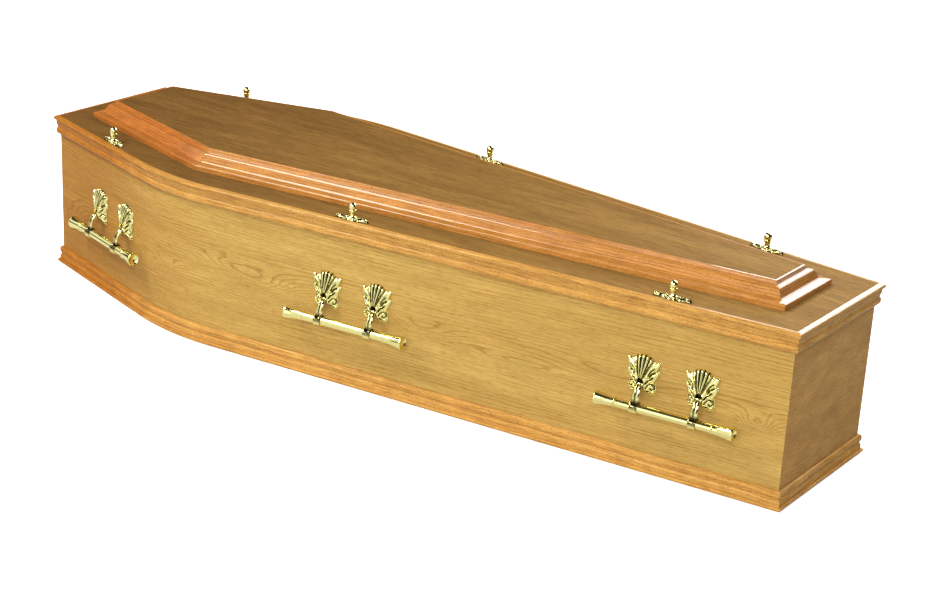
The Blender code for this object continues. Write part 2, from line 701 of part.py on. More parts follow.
def main():
    clear_scene()
    coffin = make_collection("wooden_coffin")
    cutters = make_collection("cutters")
    materials = make_materials()

    board = [(0.0, 0.0), (0.0, RIM_HEIGHT), (-SIDE_THICKNESS, RIM_HEIGHT), (-SIDE_THICKNESS, 0.0)]
    make_round_of_pieces("board", BOX, board, coffin, materials["side_veneer"], materials["end_veneer"])
    flat_board("base_board", BOX.ring(-SIDE_THICKNESS - GAP), 0.0, BASE_THICKNESS, coffin,
               materials["bare_board"])

    plinth = lip_moulding(GAP, PLINTH_HEIGHT)
    make_round_of_pieces("plinth", BOX, plinth, coffin, materials["moulding"], materials["moulding"])

    lid_outline = BOX.ring(LID_CLEARANCE)
    flat_board("lid_board", lid_outline, RIM_HEIGHT + GAP, LID_THICKNESS, coffin, materials["lid_veneer"])
    section = lip_moulding(LID_CLEARANCE + GAP, LID_EDGE_HEIGHT)
    lid_edge = [(offset, LID_TOP - drop) for offset, drop in section]
    make_round_of_pieces("lid_edge", BOX, lid_edge, coffin, materials["moulding"], materials["moulding"])

    make_raised_frame(coffin, materials["moulding"])
    flat_board("raised_panel", PANEL.ring(-FRAME_WIDTH - GAP), PANEL_TOP - PANEL_THICKNESS, PANEL_THICKNESS,
               coffin, materials["lid_veneer"])

    make_wreath_screws(coffin, cutters, materials["plated_brass"])
    make_handles(coffin, cutters, materials["plated_brass"])


main()
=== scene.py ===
"""Looks of an oak veneered coffin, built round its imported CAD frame.

Fine mouldings, boards and fittings take the place of the faceted solids. Metres, +Z up, +X from the
head end to the foot end, -Y is the near side.
"""
import math

import bmesh
import bpy
import numpy as np
from mathutils import Matrix, Vector


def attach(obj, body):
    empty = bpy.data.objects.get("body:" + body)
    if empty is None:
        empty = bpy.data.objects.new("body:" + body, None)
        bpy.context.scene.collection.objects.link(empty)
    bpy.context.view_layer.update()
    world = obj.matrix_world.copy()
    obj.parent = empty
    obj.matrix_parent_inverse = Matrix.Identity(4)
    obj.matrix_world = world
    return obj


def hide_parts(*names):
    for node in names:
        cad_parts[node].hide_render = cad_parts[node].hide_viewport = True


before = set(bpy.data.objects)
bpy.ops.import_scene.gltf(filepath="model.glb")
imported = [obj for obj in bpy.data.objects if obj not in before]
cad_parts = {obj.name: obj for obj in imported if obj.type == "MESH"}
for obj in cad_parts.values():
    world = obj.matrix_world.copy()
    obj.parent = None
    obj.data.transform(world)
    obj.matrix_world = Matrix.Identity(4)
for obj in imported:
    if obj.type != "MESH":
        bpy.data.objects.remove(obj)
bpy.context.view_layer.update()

# Sizes shared with the frame
HEAD_X, FOOT_X = -0.960, 0.960
GAP = 0.0003
MITRE_SHIFT = 0.0005
SIDE_THICKNESS = 0.018
LID_CLEARANCE = 0.0010
RIM_HEIGHT = 0.345
LID_THICKNESS = 0.018
LID_TOP = RIM_HEIGHT + GAP + LID_THICKNESS
PLINTH_HEIGHT = 0.040
LID_EDGE_HEIGHT = 0.043
PANEL_RAISE = 0.0405
PANEL_TOP = LID_TOP + GAP + PANEL_RAISE
PANEL_THICKNESS = 0.006
FRAME_WIDTH = 0.045
FRAME_REBATE = 0.010
BEND_TANGENT = 0.120

# Plans: head corner, shoulder, foot corner of the far side, and the straight length the bend takes up
BOX_PLAN = ((HEAD_X, 0.173), (HEAD_X + 0.492, 0.320), (FOOT_X, 0.167), BEND_TANGENT)
PANEL_PLAN = ((HEAD_X + 0.060, 0.125), (HEAD_X + 0.501, 0.2515), (FOOT_X - 0.0645, 0.0958), 0.0)

HANDLE_STATIONS = {"head": HEAD_X + 0.248, "middle": 0.004, "foot": FOOT_X - 0.233}
SCREW_STATIONS = {
    "near": {"head": HEAD_X + 0.2385, "middle": -0.0075, "foot": FOOT_X - 0.2535},
    "far": {"head": HEAD_X + 0.2175, "middle": -0.0410, "foot": FOOT_X - 0.2535},
}
ARM_SPACING = 0.122
PIVOT_HEIGHT = 0.183
PIVOT_STANDOFF = 0.010
BAR_LENGTH = 0.290
BAR_RADIUS = 0.0092
BAR_STANDOFF = 0.028
BAR_HEIGHT = 0.141

# Section of the plinth and the lid edge: metres out from the wall, and up from the lip
LIP_CENTRE = (0.0045, 0.0045)
LIP_OUT = 0.0116
LIP_HEIGHT = 0.0085
LIP_ARRIS = 0.0014
SWELL_OUT = 0.0069
SWELL_FALL = 0.0025
NOTCH_OUT = 0.0044
BEAD_ROOT_OUT = 0.0026
BEAD_BULGE = 0.0045
BEAD_HEIGHT = 0.0165

# Section of the raised frame: metres out from its inner edge, and down from its top
FRAME_FILLET = 0.0030
FRAME_ARRIS = 0.0012
INNER_LEDGE = (0.0058, 0.0075)
OGEE_START = (0.0140, 0.0087)
OGEE_SIZE = (0.0155, 0.0188)
NOSE_RADII = (0.0040, 0.0036)
FASCIA_HEIGHT = 0.0085            # up from the foot of the frame

# Handles and wreath screws
PIVOT_HUB = 0.0152                # how far a plate stands out at its pivot
FAN_HALF_ANGLE = 24.0
FLUTE_ANGLE = FAN_HALF_ANGLE * 0.4
FLUTE_DEPTH = 0.0050
GROOVE_DEPTH = 0.0040
HOLE_START = 0.0022               # above the pivot
HOLE_RADII = (0.0070, 0.0108)
PLATE_STRETCH = 1.06              # of the outline, up and down
CAP_LENGTH = 0.045
CAP_END_RADIUS = 0.0145
CAP_EDGE_ROUND = 0.0022
COLLAR_RADIUS = 0.0122
COLLAR_HALF_WIDTH = 0.0080
EYE_RADIUS = 0.0038
ARM_TOP_WIDTH = 0.0122
ARM_FOOT_WIDTH = 0.0152
KNOB_RADIUS = 0.0088
KNOB_CENTRE = 0.0275
PLATE_BACK = 0.0008               # thickness at the very edge of a cast plate

# Right half of a handle plate about its pivot: degrees from level, and metres out
PLATE_OUTLINE = np.array((
    (-90, 0.0100), (-72, 0.0110), (-62, 0.0150), (-54, 0.0190), (-47, 0.0265), (-40, 0.0305),
    (-30, 0.0325), (-20, 0.0315), (-10, 0.0290), (3, 0.0272), (16, 0.0290), (26, 0.0350),
    (34, 0.0410), (39, 0.0435), (43, 0.0425), (46, 0.0450), (50, 0.0535), (53.5, 0.0575),
    (57, 0.0555), (61, 0.0490), (66, 0.0510), (75, 0.0545), (90, 0.0565)))
# Grooves of that half: width, then the middle line, all in mm
PLATE_GROOVES = (
    (1.1, ((2.5, 9.0), (6.5, 20.0), (12.0, 33.0), (20.5, 47.0))),
    (1.0, ((14.0, 20.0), (18.0, 28.0), (25.0, 34.0))),
    (1.9, ((15.5, 16.0), (19.0, 22.0), (25.0, 26.0))),
    (1.3, ((10.0, 3.5), (14.0, 9.0), (19.0, 12.5), (22.5, 16.5))),
    (1.0, ((10.5, -6.0), (13.5, -1.0), (19.0, 3.0), (24.5, 1.5), (26.0, -4.0), (22.5, -8.0), (19.0, -5.0))),
    (1.0, ((8.0, -11.0), (12.0, -11.5), (16.5, -11.0))),
)
# A quarter of a wreath screw's plate: outline as above, buds (x, y, height), grooves in mm
WREATH_OUTLINE = np.array((
    (0, 0.0402), (4, 0.0396), (8, 0.0370), (11, 0.0290), (17, 0.0218), (24, 0.0222), (30, 0.0205),
    (38, 0.0135), (48, 0.0122), (62, 0.0122), (72, 0.0104), (90, 0.0098)))
WREATH_BUDS = np.array((
    (0.0362, 0.0, 0.0040), (0.0285, 0.0026, 0.0018), (0.0195, 0.0085, 0.0026), (0.0140, 0.0, 0.0016),
    (0.0060, 0.0095, 0.0018)))
WREATH_GROOVES = (
    ((17.0, 3.2), (22.0, 2.2), (27.0, 0.0)),
    ((12.5, 4.0), (15.5, 7.2), (20.5, 5.8)),
    ((10.2, 7.5), (8.6, 9.6)),
    ((31.0, 2.6), (29.4, 0.0)),
)


# Plans and paths
def unit(vector):
    """A vector divided by its length."""
    return np.asarray(vector, float) / np.linalg.norm(vector)


def left_of(run):
    """A plan direction turned a quarter turn to the left."""
    return np.array((-run[1], run[0]))


def line_y(plan, which, offset, x):
    """The y at x of the head run (0) or foot run (1) of a plan, moved out by offset."""
    head, shoulder, foot, bend = (np.asarray(part, float) for part in plan)
    run = unit(shoulder - head) if which == 0 else unit(foot - shoulder)
    start = shoulder + left_of(run) * offset
    return start[1] + (x - start[0]) * run[1] / run[0]


def side_path(plan, offset, bend_steps=40):
    """Points of the far side from head to foot, moved out by offset.

    Two straight runs joined by an arc of radius bend / tan(turn / 2) + offset; a plan with no bend
    meets at one point. Points stand close together by each end of the arc, so that the smooth
    shading of the bend doesn't spread along the straight runs.
    """
    head, shoulder, foot = (np.asarray(part, float) for part in plan[:3])
    bend = plan[3]
    runs = unit(shoulder - head), unit(foot - shoulder)
    outs = left_of(runs[0]), left_of(runs[1])
    first = np.array((head[0] - offset, line_y(plan, 0, offset, head[0] - offset)))
    last = np.array((foot[0] + offset, line_y(plan, 1, offset, foot[0] + offset)))
    turn = math.acos(float(outs[0] @ outs[1]))
    if bend == 0.0:
        middle = shoulder + unit(outs[0] + outs[1]) * offset / math.cos(turn / 2)
        return np.stack((first, middle, last))
    radius = bend / math.tan(turn / 2)
    centre = shoulder - runs[0] * bend - outs[0] * radius
    start, stop = (math.atan2(out[1], out[0]) for out in outs)
    angles = np.linspace(start, stop, bend_steps + 1)
    arc = centre + np.stack((np.cos(angles), np.sin(angles)), 1) * (radius + offset)
    shares = np.array((0.0, 0.25, 0.5, 0.75, 0.96, 0.99))[:, None]
    before = first + (arc[0] - first) * shares
    after = last + (arc[-1] - last) * shares[::-1]
    return np.concatenate((before, arc, after))


def with_supports(profile, distance=0.00025):
    """A profile with a point added near each end of every long straight, so that flats shade flat."""
    profile = np.asarray(profile, float)
    after = np.roll(profile, -1, axis=0)
    span = after - profile
    length = np.linalg.norm(span, axis=1)
    points = []
    for point, step, reach in zip(profile, span, length):
        points.append(point)
        if reach > distance * 6:
            points.append(point + step * distance / reach)
            points.append(point + step * (1 - distance / reach))
    return np.array(points)


def quarter(start_angle, end_angle, centre, radii, steps):
    """Points of an ellipse arc: centre + (radius_x cos a, radius_y sin a)."""
    a = np.radians(np.linspace(start_angle, end_angle, steps + 1))
    return np.stack((centre[0] + radii[0] * np.cos(a), centre[1] + radii[1] * np.sin(a)), 1)


def lip_profile(back, height):
    """The plinth and lid-edge section, (offset, distance from the lip): lip, swell, notch and bead."""
    lip = quarter(-90, 0, LIP_CENTRE, (LIP_OUT - LIP_CENTRE[0], LIP_CENTRE[1]), 10)
    under = quarter(0, 90, (LIP_OUT - LIP_ARRIS, LIP_HEIGHT - LIP_ARRIS), (LIP_ARRIS, LIP_ARRIS), 5)
    notch = height - BEAD_HEIGHT
    swell_start = LIP_HEIGHT + (notch - LIP_HEIGHT) * 0.45
    share = np.linspace(0.0, 1.0, 11)
    swell = np.stack((SWELL_OUT - SWELL_FALL * np.sin(share * math.pi / 2) ** 2,
                      swell_start + (notch - swell_start) * share), 1)
    bead_root = (BEAD_ROOT_OUT, height - BEAD_HEIGHT / 2)
    bead = quarter(-66, 66, bead_root, (BEAD_BULGE, BEAD_HEIGHT / 2), 16)
    points = np.concatenate((
        [(0.0, 0.0)], lip, under, [(SWELL_OUT, LIP_HEIGHT)], swell,
        [(NOTCH_OUT, notch)], bead, [(BEAD_ROOT_OUT, height), (0.0, height)]))
    keep = np.ones(len(points), bool)
    keep[1:] = np.linalg.norm(np.diff(points, axis=0), axis=1) > 1e-6
    return with_supports(points[keep]) + np.array((back, 0.0))


def frame_profile():
    """The raised frame's section, (offset from its foot, height): fillet, ledge, ogee, ledge, fascia."""
    inner = -FRAME_WIDTH
    top = PANEL_TOP
    base = PANEL_TOP - PANEL_RAISE
    round_top = quarter(90, 0, (inner + FRAME_FILLET, top - FRAME_ARRIS), (FRAME_ARRIS, FRAME_ARRIS), 5)
    share = np.linspace(0.0, 1.0, 25)
    ogee = np.stack((inner + OGEE_START[0] + OGEE_SIZE[0] * share,
                     top - OGEE_START[1] - OGEE_SIZE[1] * (1 - np.cos(math.pi * share)) / 2), 1)
    nose = quarter(90, 0, (-NOSE_RADII[0], base + FASCIA_HEIGHT), NOSE_RADII, 8)
    points = np.concatenate((
        [(inner, top)], round_top, [(inner + INNER_LEDGE[0], top - INNER_LEDGE[1])], ogee, nose,
        [(0.0, base), (inner - FRAME_REBATE, base),
         (inner - FRAME_REBATE, top - PANEL_THICKNESS - GAP), (inner, top - PANEL_THICKNESS - GAP)]))
    return with_supports(points)


# Meshes
def tube(rings, along=None):
    """A closed section carried over stations, capped at both ends.

    rings is (stations, points, 3). The grid map is u = along, metres down the length, and
    v = metres round the section.
    """
    stations, points = rings.shape[:2]
    i, j = np.meshgrid(np.arange(stations - 1), np.arange(points), indexing="ij")
    k = (j + 1) % points
    quads = np.stack((i * points + j, i * points + k, (i + 1) * points + k, (i + 1) * points + j), -1)
    if along is None:
        steps = np.linalg.norm(np.diff(rings, axis=0), axis=2)
        along = np.concatenate((np.zeros((1, points)), np.cumsum(steps, axis=0)))
    round_it = np.linalg.norm(np.roll(rings, -1, axis=1) - rings, axis=2).mean(axis=0)
    v = np.concatenate(((0.0,), np.cumsum(round_it)))
    uv = np.stack((
        np.stack((along[i, j], v[j]), -1), np.stack((along[i, k], v[j + 1]), -1),
        np.stack((along[i + 1, k], v[j + 1]), -1), np.stack((along[i + 1, j], v[j]), -1)), 2)
    last = (stations - 1) * points
    caps = [list(range(points)), list(range(last, last + points))]
    cap_uv = np.concatenate((np.stack((along[0], v[:-1]), 1), np.stack((along[-1], v[:-1]), 1)))
    return {
        "co": rings.reshape(-1, 3),
        "faces": quads.reshape(-1, 4).tolist() + caps,
        "uv": np.concatenate((uv.reshape(-1, 2), cap_uv)),
    }


def joined(parts):
    """Several parts as one, with their face numbers moved on."""
    faces, start = [], 0
    for part in parts:
        faces += [[corner + start for corner in face] for face in part["faces"]]
        start += len(part["co"])
    return {
        "co": np.concatenate([part["co"] for part in parts]),
        "faces": faces,
        "uv": np.concatenate([part["uv"] for part in parts]),
        "painted_shade": np.concatenate([part.get("painted_shade", np.zeros(len(part["co"]))) for part in parts]),
    }


def moved(part, matrix):
    """A part carried by a 4 by 4 matrix."""
    matrix = np.array(matrix)
    made = dict(part)
    made["co"] = part["co"] @ matrix[:3, :3].T + matrix[:3, 3]
    return made


def add_piece(name, part, material, body, nodes, sharp=35.0):
    """A mesh object from a part, faces outward, riding on a body in place of some CAD nodes."""
    mesh = bpy.data.meshes.new(name)
    mesh.from_pydata(part["co"].tolist(), [], part["faces"])
    layer = mesh.uv_layers.new(name="length_and_girth")
    layer.data.foreach_set("uv", part["uv"].ravel())
    # Painted shade of brass parts, a share per point, kept as a mesh attribute
    if "painted_shade" in part:
        attribute = mesh.attributes.new("painted_shade", "FLOAT", "POINT")
        attribute.data.foreach_set("value", part["painted_shade"])
    bm = bmesh.new()
    bm.from_mesh(mesh)
    bmesh.ops.recalc_face_normals(bm, faces=bm.faces)
    bm.to_mesh(mesh)
    bm.free()
    mesh.materials.append(material)
    mesh.shade_smooth()
    mesh.set_sharp_from_angle(angle=math.radians(sharp))
    obj = bpy.data.objects.new(name, mesh)
    bpy.context.scene.collection.objects.link(obj)
    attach(obj, body)
    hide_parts(*nodes)


def side_piece(plan, profile, sign):
    """A length that follows one side: the profile's points each run along their own offset path."""
    paths = np.stack([side_path(plan, offset) for offset, height in profile], 1)
    heights = np.broadcast_to(profile[:, 1], paths.shape[:2])
    rings = np.dstack((paths[..., 0], sign * paths[..., 1], heights))
    steps = np.linalg.norm(np.diff(paths[:, :1], axis=0), axis=2)
    along = np.concatenate((np.zeros((1, 1)), np.cumsum(steps, axis=0)))
    return tube(rings, np.broadcast_to(along, paths.shape[:2]))


def end_piece(plan, profile, end):
    """A length across the head (0) or foot (-1), mitred to the sides, with a seam's width cut off."""
    corners = np.stack([side_path(plan, offset)[end] for offset, height in profile])
    share = np.linspace(-1.0, 1.0, 9)[:, None]
    y = share * (corners[:, 1] - MITRE_SHIFT)
    rings = np.dstack((np.broadcast_to(corners[:, 0], y.shape), y, np.broadcast_to(profile[:, 1], y.shape)))
    return tube(rings, y)


def straight_piece(plan, profile, first, last, sign):
    """A straight length between two corners of a plan with no bend, its ends on the mitre lines."""
    paths = np.stack([side_path(plan, offset) for offset, height in profile], 1)
    run = unit(paths[last, 0] - paths[first, 0])
    start = paths[first] + run * GAP
    stop = paths[last] - run * GAP
    share = np.linspace(0.0, 1.0, 9)[:, None, None]
    plan_points = start + (stop - start) * share
    heights = np.broadcast_to(profile[:, 1], plan_points.shape[:2])
    rings = np.dstack((plan_points[..., 0], sign * plan_points[..., 1], heights))
    along = (plan_points - paths[first, 0]) @ run
    return tube(rings, along)


def board_part(plan, offset, bottom, top, arris=0.0004):
    """A flat board: its outline at two heights, with a small arris top and bottom."""
    rings = []
    for inset, height in ((arris, bottom), (0.0, bottom + arris), (0.0, top - arris), (arris, top)):
        far = side_path(plan, offset - inset)
        ring = np.concatenate((far, far[::-1] * (1, -1)))
        rings.append(np.column_stack((ring, np.full(len(ring), height))))
    return tube(np.stack(rings))


def wall_matrix(side, station, offset):
    """A frame on the outer face of a side: X along it to a viewer's right, Y into it, Z up."""
    shoulder_x = BOX_PLAN[1][0]
    which = 0 if station < shoulder_x else 1
    ends = (BOX_PLAN[0], BOX_PLAN[1]) if which == 0 else (BOX_PLAN[1], BOX_PLAN[2])
    run = unit(np.subtract(ends[1], ends[0]))
    y = line_y(BOX_PLAN, which, offset, station)
    along = np.array((run[0], -run[1], 0.0)) if side == "near" else np.array((-run[0], -run[1], 0.0))
    up = np.array((0.0, 0.0, 1.0))
    matrix = np.eye(4)
    matrix[:3, 0], matrix[:3, 1], matrix[:3, 2] = along, np.cross(up, along), up
    matrix[:3, 3] = (station, -y if side == "near" else y, 0.0)
    return matrix


def shift(x, y, z):
    """A 4 by 4 matrix that only moves."""
    matrix = np.eye(4)
    matrix[:3, 3] = (x, y, z)
    return matrix


# Fittings
def smooth_path(controls, steps):
    """A curve through its control points (Catmull-Rom), as (steps + 1) points."""
    p = np.asarray(controls, float)
    p = np.concatenate((2 * p[:1] - p[1:2], p, 2 * p[-1:] - p[-2:-1]))
    spans = len(p) - 3
    t = np.linspace(0.0, spans, steps + 1)
    i = np.minimum(t.astype(int), spans - 1)
    t = (t - i)[:, None]
    a, b, c, d = p[i], p[i + 1], p[i + 2], p[i + 3]
    bow = 2 * a - 5 * b + 4 * c - d
    turn = 3 * b - a - 3 * c + d
    return 0.5 * (2 * b + (c - a) * t + bow * t ** 2 + turn * t ** 3)


def stepped_value(value, low, high):
    """0 at low, 1 at high and a smooth step between."""
    share = ((value - low) / (high - low)).clip(0.0, 1.0)
    return share * share * (3 - 2 * share)


def turned_part(profile, segments):
    """A turned piece about Z: each (radius, height) becomes a ring; its poles close with tiny caps."""
    profile = np.asarray(profile, float)
    angle = np.linspace(0.0, 2 * math.pi, segments, endpoint=False)
    radius = profile[:, 0].clip(0.00008)[:, None]
    rings = np.dstack((radius * np.cos(angle), radius * np.sin(angle),
                       np.broadcast_to(profile[:, 1:2], (len(profile), segments))))
    return tube(rings)


def away_from(points, curve):
    """Distance from each of the points (n, 2) to the nearest of a curve's close points."""
    return np.linalg.norm(points[:, None] - curve[None], axis=2).min(axis=1)


def plate_part(spokes=280, steps=54):
    """A cast palmette, as a height over polar rings about the pivot; both halves read the same |x|.

    The front falls as edge + (hub - edge)(1 - share)^0.8 in the wings and as edge + (hub - edge)
    (1 - share^2) in the fan. Each groove cuts e^(-(distance / width)^2) into it, and the fan's flutes
    are round, (1 - (2u - 1)^2)^0.5 across each.
    """
    angle = np.linspace(-math.pi / 2, 1.5 * math.pi, spokes, endpoint=False)
    half = np.degrees(np.where(angle > math.pi / 2, math.pi - angle, angle))
    outline = np.interp(half, *PLATE_OUTLINE.T)
    from_top = np.abs(90.0 - half)
    share = np.linspace(0.0, 1.0, steps) ** 0.85
    share[0] = 0.004
    across_flute = 2 * ((from_top + FAN_HALF_ANGLE) / FLUTE_ANGLE % 1.0) - 1
    flute = np.sqrt(1 - across_flute ** 2)
    in_fan = stepped_value(from_top, FAN_HALF_ANGLE + 1.5, FAN_HALF_ANGLE - 0.5)
    outline = outline + in_fan * (flute - 0.7) * 0.0016
    reach = share[:, None] * outline
    x, z = reach * np.cos(angle), reach * np.sin(angle)
    points = np.stack((np.abs(x), z), -1).reshape(-1, 2)
    cut = np.zeros(x.shape)
    for width, groove in PLATE_GROOVES:
        gap = away_from(points, smooth_path(np.array(groove) / 1000, 60)).reshape(x.shape)
        cut = np.maximum(cut, np.exp(-(gap * 1000 / width) ** 2))
    edge = 0.0026 + 0.0020 * in_fan
    fall = (1 - in_fan) * (1 - share[:, None]) ** 0.8 + in_fan * (1 - share[:, None] ** 2.0)
    height = edge + (PIVOT_HUB - edge) * fall - GROOVE_DEPTH * cut
    fade = in_fan * stepped_value(reach, 0.009, 0.024)
    height = height + fade * FLUTE_DEPTH * (flute - 0.75)
    rim = 1 - np.exp(-((1 - share[:, None]) * outline / 0.0016) ** 2)
    height = PLATE_BACK + (height - PLATE_BACK).clip(0.0) * rim
    hole = np.hypot(x / HOLE_RADII[0], (z - HOLE_START).clip(0.0) / HOLE_RADII[1]) - 1
    lip = np.exp(-((hole * HOLE_RADII[0] - 0.0012) / 0.0010) ** 2) * (z > -0.002)
    height = height + 0.0010 * lip
    sunk = stepped_value(hole, 0.10, -0.10)
    floor = np.minimum(height, 0.0034)
    height = height + (floor - height) * sunk
    front = np.dstack((x, -height, z * PLATE_STRETCH))
    back = np.dstack((x[-1:], np.zeros_like(x[-1:]), z[-1:] * PLATE_STRETCH))
    made = tube(np.concatenate((front, back)))
    # Painted shade: the grooves, the sunk hole and the flute valleys darken, and the back is black
    dark = np.maximum(cut, sunk)
    dark = np.maximum(dark, fade * stepped_value(1 - flute, 0.06, 0.34))
    made["painted_shade"] = np.concatenate((dark, np.ones_like(dark[-1:]))).ravel()
    return made


def arm_part():
    """A bowed strap from the pivot to a collar on the bar, about the pivot.

    Its middle line is the frame's quadratic curve; its front is half round with a groove down it.
    """
    start = np.zeros(2)
    turn = np.array((-0.0170, -0.0040))
    drop = PIVOT_HEIGHT - BAR_HEIGHT
    end = np.array((-(BAR_STANDOFF - PIVOT_STANDOFF), -(drop - (BAR_RADIUS + COLLAR_RADIUS) / 2)))
    t = np.linspace(0.0, 1.0, 25)[:, None]
    line = start * (1 - t) ** 2 + turn * 2 * t * (1 - t) + end * t ** 2
    ahead = np.gradient(line, axis=0)
    ahead /= np.linalg.norm(ahead, axis=1)[:, None]
    normal = np.stack((ahead[:, 1], -ahead[:, 0]), 1)
    half = (ARM_TOP_WIDTH + (ARM_FOOT_WIDTH - ARM_TOP_WIDTH) * t[:, 0]) / 2
    s = np.sin(np.linspace(-1.0, 1.0, 23) * math.pi / 2)
    groove = np.exp(-((s + 0.15) / 0.30) ** 2)
    crown = 0.0006 + 0.0026 * np.sqrt(1 - s ** 2) - 0.0014 * groove
    lift = np.broadcast_to(np.concatenate((crown, (-0.0010, -0.0010))), (25, 25))
    across = np.concatenate((s, (0.9, -0.9)))
    yz = line[:, None] + normal[:, None] * lift[..., None]
    strap = tube(np.dstack((half[:, None] * across, yz[..., 0], yz[..., 1])))
    # Painted shade: the groove darkens down the strap, and the strap's foot darkens by the collar
    foot_shade = stepped_value(t, 0.84, 0.97) * 0.85
    strap["painted_shade"] = np.maximum(np.concatenate((groove, (0.0, 0.0))), foot_shade).ravel()
    profile = np.array((
        (0.0097, -COLLAR_HALF_WIDTH), (0.0108, -COLLAR_HALF_WIDTH), (0.0120, -0.0074),
        (COLLAR_RADIUS, -0.0060), (0.0114, -0.0050), (0.0112, 0.0050), (COLLAR_RADIUS, 0.0060),
        (0.0120, 0.0074), (0.0108, COLLAR_HALF_WIDTH), (0.0097, COLLAR_HALF_WIDTH)))
    segments = 48
    angle = np.linspace(0.0, 2 * math.pi, segments, endpoint=False)
    rings = np.dstack((np.broadcast_to(profile[:, 1:], (len(profile), segments)),
                       profile[:, :1] * np.cos(angle) + PIVOT_STANDOFF - BAR_STANDOFF,
                       profile[:, :1] * np.sin(angle) + BAR_HEIGHT - PIVOT_HEIGHT))
    closed = np.concatenate((rings, rings[:1]))
    collar = tube(closed)
    collar["faces"] = collar["faces"][:-2]
    collar["uv"] = collar["uv"][:-2 * segments]
    # Painted shade on the collar's top
    upper = 0.9 * stepped_value(np.sin(angle - 0.35), 0.1, 0.6)
    collar["painted_shade"] = np.tile(upper, len(closed))
    end_round = EYE_RADIUS - 0.0004
    eye = turned_part(((0.0002, -0.0063), (end_round, -0.0063), (EYE_RADIUS, -0.0058), (EYE_RADIUS, 0.0058),
                       (end_round, 0.0063), (0.0002, 0.0063)), 24)
    eye["co"] = eye["co"][:, (2, 0, 1)]
    return joined([strap, collar, eye])


def bar_part():
    """A round bar with a flared, beaded and dished cap on each end, below and outside the pivot."""
    end = BAR_LENGTH / 2
    joint = end - CAP_LENGTH
    share = np.linspace(0.0, 1.0, 15)
    flare = np.stack((CAP_END_RADIUS - (CAP_END_RADIUS - 0.0100) * np.sin(share * math.pi / 2) ** 1.1,
                      end - CAP_EDGE_ROUND - (CAP_LENGTH - CAP_EDGE_ROUND - 0.0040) * share), 1)
    share = np.linspace(0.0, 1.0, 9)
    dish = np.stack((0.0108 * share, end - 0.0012 - 0.0048 * np.cos(share * math.pi / 2) ** 0.8), 1)
    rim = quarter(135, 0, (CAP_END_RADIUS - 0.0020, end - CAP_EDGE_ROUND), (0.0020, CAP_EDGE_ROUND), 8)
    bead = quarter(90, -90, (0.0098, joint + 0.0020), (0.0016, 0.0019), 8)
    neck = [(BAR_RADIUS, joint - 0.0004), (BAR_RADIUS, 0.0002)]
    profile = np.concatenate((dish, rim, flare[1:], bead, neck))
    whole = np.concatenate((profile, profile[::-1] * (1, -1)))
    bar = turned_part(whole, 48)
    bar["co"] = bar["co"][:, (2, 0, 1)] + (0.0, PIVOT_STANDOFF - BAR_STANDOFF, BAR_HEIGHT - PIVOT_HEIGHT)
    return bar


def wreath_part(spokes=144, steps=26):
    """A ball knob on a flared neck, cast with a low plate: a scroll each way and two small lobes.

    The plate's front is a low dome; buds of height e^(-(distance / 2.2 mm)^2) stand on it and grooves
    are cut between them.
    """
    ball = quarter(90, -40, (0.0, KNOB_CENTRE), (KNOB_RADIUS, KNOB_RADIUS), 22)
    neck = smooth_path(((0.0070, 0.0218), (0.0078, 0.0208), (0.0071, 0.0175), (0.0062, 0.0142),
                        (0.0057, 0.0112), (0.0060, 0.0090), (0.0072, 0.0070), (0.0087, 0.0058),
                        (0.0088, 0.0048)), 26)
    profile = np.concatenate((ball, neck, [(0.0088, 0.0010), (0.0, 0.0010)]))
    knob = turned_part(profile, 40)
    angle = np.linspace(0.0, 2 * math.pi, spokes, endpoint=False)
    quarter_turn = np.degrees(np.arcsin(np.abs(np.sin(angle))))
    outline = np.interp(quarter_turn, *WREATH_OUTLINE.T)
    share = np.linspace(0.0, 1.0, steps)
    share[0] = 0.004
    reach = share[:, None] * outline
    x, y = reach * np.cos(angle), reach * np.sin(angle)
    points = np.stack((np.abs(x), np.abs(y)), -1).reshape(-1, 2)
    near = np.exp(-(np.linalg.norm(points[:, None] - WREATH_BUDS[None, :, :2], axis=2) / 0.0024) ** 2)
    buds = (near * WREATH_BUDS[:, 2]).max(axis=1).reshape(x.shape)
    grooves = np.concatenate([smooth_path(np.array(groove) / 1000, 24) for groove in WREATH_GROOVES])
    gap = away_from(points, grooves).reshape(x.shape)
    dome = 0.0022 + 0.0028 * (1 - share[:, None] ** 2)
    height = dome + buds - 0.0024 * np.exp(-(gap / 0.0011) ** 2)
    rim = 1 - np.exp(-((1 - share[:, None]) * outline / 0.0011) ** 2)
    height = PLATE_BACK + (height - PLATE_BACK).clip(0.0) * rim
    front = np.dstack((x, y, height))
    back = np.dstack((x[-1:], y[-1:], np.zeros_like(x[-1:])))
    plate = tube(np.concatenate((front, back)))
    # Painted shade: the grooves and the plate between the buds darken, and the back is black
    shade_between_buds = 0.8 - near.max(axis=1).reshape(x.shape)
    dark = np.maximum(np.exp(-(gap / 0.0012) ** 2), shade_between_buds)
    plate["painted_shade"] = np.concatenate((dark, np.ones_like(dark[-1:]))).ravel()
    return joined([knob, plate])


# Where the painted head-end shade starts and ends along X, and where the polish comes in past the shoulder
HEAD_SHADE_SPAN = (-0.30, -0.85)
POLISH_SPAN = (-0.60, -0.42)


# Materials
def plug(tree, socket, value):
    """Link a socket, or set a value, into an input socket."""
    if isinstance(value, bpy.types.NodeSocket):
        tree.links.new(value, socket)
    else:
        socket.default_value = value


def node(tree, kind, inputs=None, **settings):
    """A node with its settings made and its inputs plugged."""
    made = tree.nodes.new(kind)
    for name, value in settings.items():
        setattr(made, name, value)
    for key, value in (inputs or {}).items():
        plug(tree, made.inputs[key], value)
    return made


def maths(tree, operation, *values, clamp=False):
    """The result of one operation on values or sockets."""
    made = node(tree, "ShaderNodeMath", dict(enumerate(values)), operation=operation, use_clamp=clamp)
    return made.outputs[0]


